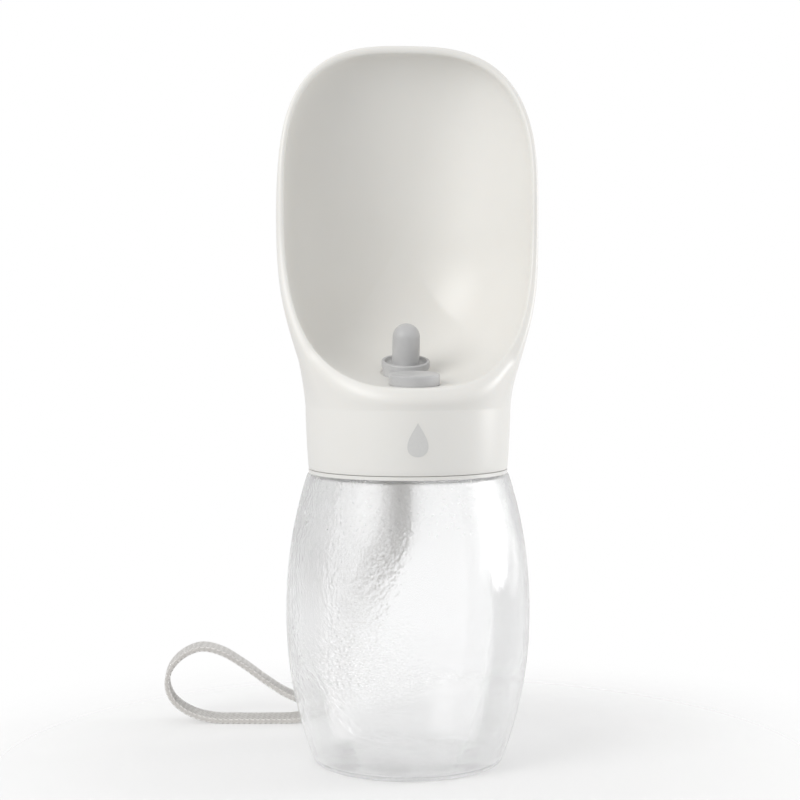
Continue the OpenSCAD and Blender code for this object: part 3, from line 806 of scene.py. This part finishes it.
def makeScoop():
    s = seats
    piece = buildMesh("scoop_shell", *scoopMesh(), plasticMaterial)
    for place, disc, stem in ((plugPlace, s["plugR"], s["spoutR"]), (anchorPlace, s["anchorR"], s["stemR"])):
        bore, well = stem + s["slack"], disc + s["gap"]
        line = roundLine([(0, -s["deep"]), (bore, -s["deep"]), (bore, 0, 0.3), (well, 0, 0.4),
                          (well, s["high"]), (0, s["high"])], 4)
        cutOut(piece, *latheMesh(line, 96, place))
    finishMesh(piece.data, sharpAngle=32)
    piece.data.materials.clear()
    piece.data.materials.append(plasticMaterial)
    settle(piece, "head", ["drinking_scoop"])


makeScoop()
print("scoop moulded")

mark = {"height": 96.0, "tall": 9.6, "wide": 6.6, "pointed": 1.4, "fill": 1.25, "raise": 0.05, "sink": 0.15,
        "colour": colour(0.66, 0.66, 0.65), "light": colour(0.72, 0.72, 0.71)}


# grey print with pale flecks
def paintMark(tree):
    point = objectPoint(tree)
    fleck = noise(tree, point, 1800.0, 3.0, 0.6)
    shade = mixColour(tree, fleck.ramp(0.35, 0.7) * 0.35, mark["colour"], mark["light"])
    return principled(tree, Base_Color=shade, Roughness=0.42 + fleck * 0.12)


# a plain drop of water printed on the collar
def makeMark():
    s, c = mark, scoop
    rows, columns = 40, 16
    parts = []
    for depth in (s["raise"], -s["sink"]):
        points = []
        for j in range(rows + 1):
            t = math.pi * (0.02 + 0.96 * j / rows)
            z = s["height"] + s["tall"] / 2 * math.cos(t)
            half = s["wide"] / 2 * math.sin(t) * math.sin(t / 2) ** s["pointed"] * s["fill"]
            r = collarRadius((z - c["collarZ"]) / (c["scoopZ"] - c["collarZ"])) + depth
            for i in range(columns + 1):
                a = half * (2 * i / columns - 1) / r
                points.append((r * math.sin(a), -r * math.cos(a), z))
        parts.append(points)
    wide = columns + 1
    n = wide * (rows + 1)
    faces = []
    for j in range(rows):
        for i in range(columns):
            k = j * wide + i
            faces.append((k, k + wide, k + wide + 1, k + 1))
            faces.append((n + k, n + k + 1, n + k + wide + 1, n + k + wide))
    edge = list(range(wide)) + [j * wide + columns for j in range(1, rows + 1)]
    edge += [rows * wide + i for i in reversed(range(columns))] + [j * wide for j in reversed(range(1, rows))]
    for i, k in enumerate(edge):
        m = edge[(i + 1) % len(edge)]
        faces.append((k, m, n + m, n + k))
    material = newMaterial("pale_print", paintMark)
    piece = buildMesh("drop_mark", parts[0] + parts[1], faces, material, sharpAngle=60)
    settle(piece, "head")


makeMark()
print("mark printed")


stopper = {"plugR": seats["plugR"], "plugH": 4.0, "pegR": 4.0, "pegTop": 15, "stemD": 4, "stemTip": 2.39,
           "boreR": 3.9, "hubR": 5.6, "flange": 1.9, "dish": 1.1, "cutY": -1, "cutSoft": 0.8, "foot": 0.12,
           "anchorR": seats["anchorR"], "anchorH": 3.3, "stemR": seats["stemR"], "floor": 5.62, "barb": 1.8,
           "barbOut": 0.8, "tabLow": 1.1, "tabT": 1.2, "tabLeft": -5.6, "tabRight": 4.4, "hingeBack": 9.0,
           "anchorBite": 1.2, "plugBite": 0.9, "webRound": 0.9, "bendFrom": 0.5, "bendTo": 1.4,
           "colour": colour(0.56, 0.56, 0.562), "dark": colour(0.47, 0.47, 0.473), "grain": 0.02}


# soft silicone: matte, dusty, with a faint flow mottle
def paintSilicone(tree):
    s = stopper
    point = objectPoint(tree)
    dust = noise(tree, point, 1100.0, 4.0, 0.65)
    cloud = noise(tree, point, 130.0, 2.0)
    shade = mixColour(tree, cloud.ramp(0.35, 0.65) * 0.6 + dust * 0.2, s["colour"], s["dark"])
    return principled(tree, Base_Color=shade, Roughness=0.38 + dust * 0.16, Specular_IOR_Level=0.5,
                      Sheen_Weight=0.12, Subsurface_Weight=0.08, Subsurface_Radius=(0.001, 0.001, 0.001),
                      Normal=bump(tree, dust, s["grain"] * mm, 0.6))


siliconeMaterial = newMaterial("grey_silicone", paintSilicone)


# the plug's wall is full on its front and left and cut back to the hub elsewhere
def plugMesh():
    s = stopper
    bed, ball = s["plugH"] - s["dish"], s["pegTop"] - s["pegR"]
    line = roundLine([(0, -s["stemD"]), (s["stemTip"], -s["stemD"], 0.5), (s["boreR"], 0, 0.1),
                      (s["hubR"], 0, 0.15), (s["hubR"], s["flange"], 0.3), (s["plugR"], s["flange"], 0.35),
                      (s["plugR"], s["plugH"], 0.45), (s["plugR"] - s["dish"] + 0.15, s["plugH"], 0.3),
                      (s["plugR"] - s["dish"] - 0.3, bed, 0.5), (s["pegR"], bed, 0.6), (s["pegR"], ball)], 4)
    arc = 12
    for i in range(1, arc):
        a = math.pi / 2 * i / arc
        line.append(np.array([s["pegR"] * math.cos(a), ball + s["pegR"] * math.sin(a)]))
    line.append(np.array([0, s["pegTop"]]))
    count = 128
    points, faces = latheMesh(line, count)
    rings = [p for p in line if p[0] > onAxis]
    for j, (r, z) in enumerate(rings):
        if r > s["boreR"] + 0.3 and -0.01 < z < s["flange"] + 0.36:
            for i in range(count):
                x, y, h = points[j * count + i]
                full = min(1, max(0, (s["tabRight"] - x) / s["cutSoft"]))
                full *= min(1, max(0, (s["cutY"] - y) / s["cutSoft"]))
                grown = mix(r, s["plugR"] - (s["foot"] if z < 0.05 else 0), full)
                points[j * count + i] = (x * grown / r, y * grown / r, z)
    return [tuple(plugPlace @ Vector(p)) for p in points], faces


def makeStopper():
    s = stopper
    piece = buildMesh("plug_and_peg", *plugMesh(), siliconeMaterial, sharpAngle=45)
    settle(piece, "plug", ["stopper_plug"])
    barbR, end = s["stemR"] + s["barbOut"], -s["floor"] - s["barb"]
    line = roundLine([(0, end), (s["stemR"] - 0.6, end, 0.5), (barbR, -s["floor"] - 0.3, 0.2),
                      (barbR, -s["floor"], 0.1), (s["stemR"], -s["floor"], 0.1), (s["stemR"], 0),
                      (s["anchorR"], 0, 0.3), (s["anchorR"], s["anchorH"], 0.55), (0, s["anchorH"])], 5)
    piece = buildMesh("anchor_disc", *latheMesh(line, 128, anchorPlace), siliconeMaterial, sharpAngle=45)
    settle(piece, "head", ["stopper_anchor"])


makeStopper()


# the web between plug and anchor, a band that turns at the hinge
def makeWeb():
    s = stopper
    middle = s["tabLow"] + s["tabT"] / 2
    hinge = plugPlace @ Vector((0, -s["hingeBack"], middle))
    inAnchor = anchorPlace @ Vector((0, s["anchorR"] - s["anchorBite"], middle + 0.1))
    inPlug = plugPlace @ Vector((0, -s["plugR"] + s["plugBite"], middle))
    corners = [(inAnchor.y, inAnchor.z), (hinge.y, hinge.z, s["webRound"]), (inPlug.y, inPlug.z)]
    line = through(np.array(roundLine(corners, 6)), 6)
    left, right = s["tabLeft"], s["tabRight"]
    section = roundLine([(left + 2, 0.5), (left, 0.5, 0.35), (left, -0.5, 0.35), (right, -0.5, 0.35),
                         (right, 0.5, 0.35), (left + 2.01, 0.5)], 4)[:-1]
    points = []
    for i, (y, z) in enumerate(line):
        way = line[min(i + 1, len(line) - 1)] - line[max(i - 1, 0)]
        way = way / np.linalg.norm(way)
        for x, v in section:
            v *= s["tabT"]
            points.append((x + seats["plugX"], y - way[1] * v, z + way[0] * v))
    count = len(section)
    faces = ringFaces(len(line), count)
    faces += [tuple(range(count)), tuple((len(line) - 1) * count + k for k in reversed(range(count)))]
    piece = buildMesh("stopper_web", points, faces, siliconeMaterial, sharpAngle=50)
    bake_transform(piece)


makeWeb()
print("stopper made")


studio = {"floorRadius": 0.9, "floorColour": colour(0.95, 0.95, 0.95), "gritColour": colour(0.91, 0.91, 0.91),
          "leastFade": 0.3, "fadeFrom": 0.05, "fadeTo": 0.17, "ambient": 0.58, "inGloss": 0.6}

# where each softbox stands, the height on the object that it looks at, and how wide it is, in metres
lamps = {
    "key_softbox": {"place": (-0.71, -0.6, 0.55), "at": 0.12, "size": 0.65, "power": 4.9,
                    "tone": (1, 0.995, 0.985)},
    "edge_softbox": {"place": (0.85, 0.05, 0.2), "at": 0.12, "size": 0.4, "power": 3.2, "tone": (1, 1, 1)},
    "fill_softbox": {"place": (0.8, -0.5, 0.3), "at": 0.12, "size": 0.6, "power": 0.3, "tone": (1, 1, 1)},
    "top_softbox": {"place": (0.0, -0.05, 0.95), "at": 0.15, "size": 0.5, "power": 0.4, "tone": (1, 1, 1)}}


# a pale floor that melts into the white behind it
def paintFloor(tree):
    s = studio
    point = objectPoint(tree)
    distance = addNode(tree, "ShaderNodeVectorMath", {"operation": "LENGTH"}, {0: point}, "Value")
    grit = noise(tree, point, 60.0, 3.0, 0.6)
    tone = mixColour(tree, grit * 0.2, s["floorColour"], s["gritColour"])
    paper = principled(tree, Base_Color=tone, Roughness=0.7, Specular_IOR_Level=0.2)
    clear = addNode(tree, "ShaderNodeBsdfTransparent", {}, {})
    fade = distance.ramp(s["fadeFrom"], s["fadeTo"]) * (1 - s["leastFade"]) + s["leastFade"]
    return addNode(tree, "ShaderNodeMixShader", {}, {0: fade, 1: paper, 2: clear})


def makeStudio():
    s = studio
    count, r, z = 96, s["floorRadius"] / mm, -0.02
    points = [(0, 0, z)]
    for i in range(count):
        points.append((r * math.cos(2 * math.pi * i / count), r * math.sin(2 * math.pi * i / count), z))
    faces = [(0, 1 + i, 1 + (i + 1) % count) for i in range(count)]
    floor = buildMesh("floor", points, faces, newMaterial("pale_floor", paintFloor))
    world = bpy.data.worlds.new("studio")
    bpy.context.scene.world = world
    world.use_nodes = True
    tree = world.node_tree
    tree.nodes.clear()
    path = addNode(tree, "ShaderNodeLightPath", {}, {}, "Is Camera Ray")
    seen = path.atLeast(path.other("Is Transmission Ray")).atLeast(path.other("Is Glossy Ray") * s["inGloss"])
    level = seen + (1 - seen) * s["ambient"]
    background = addNode(tree, "ShaderNodeBackground", {}, {"Color": colour(1, 1, 1), "Strength": level})
    output = tree.nodes.new("ShaderNodeOutputWorld")
    tree.links.new(background.socket, output.inputs["Surface"])


def addLamp(name, s):
    data = bpy.data.lights.new(name, "AREA")
    data.shape, data.size, data.energy, data.color = "DISK", s["size"], s["power"], s["tone"]
    lamp = bpy.data.objects.new(name, data)
    bpy.context.scene.collection.objects.link(lamp)
    lamp.location = s["place"]
    lamp.rotation_euler = (Vector((0, 0, s["at"])) - Vector(s["place"])).to_track_quat("-Z", "Y").to_euler()


makeStudio()
for name, settings in lamps.items():
    addLamp(name, settings)
bpy.context.scene.view_settings.view_transform = "Standard"
print("studio lit")
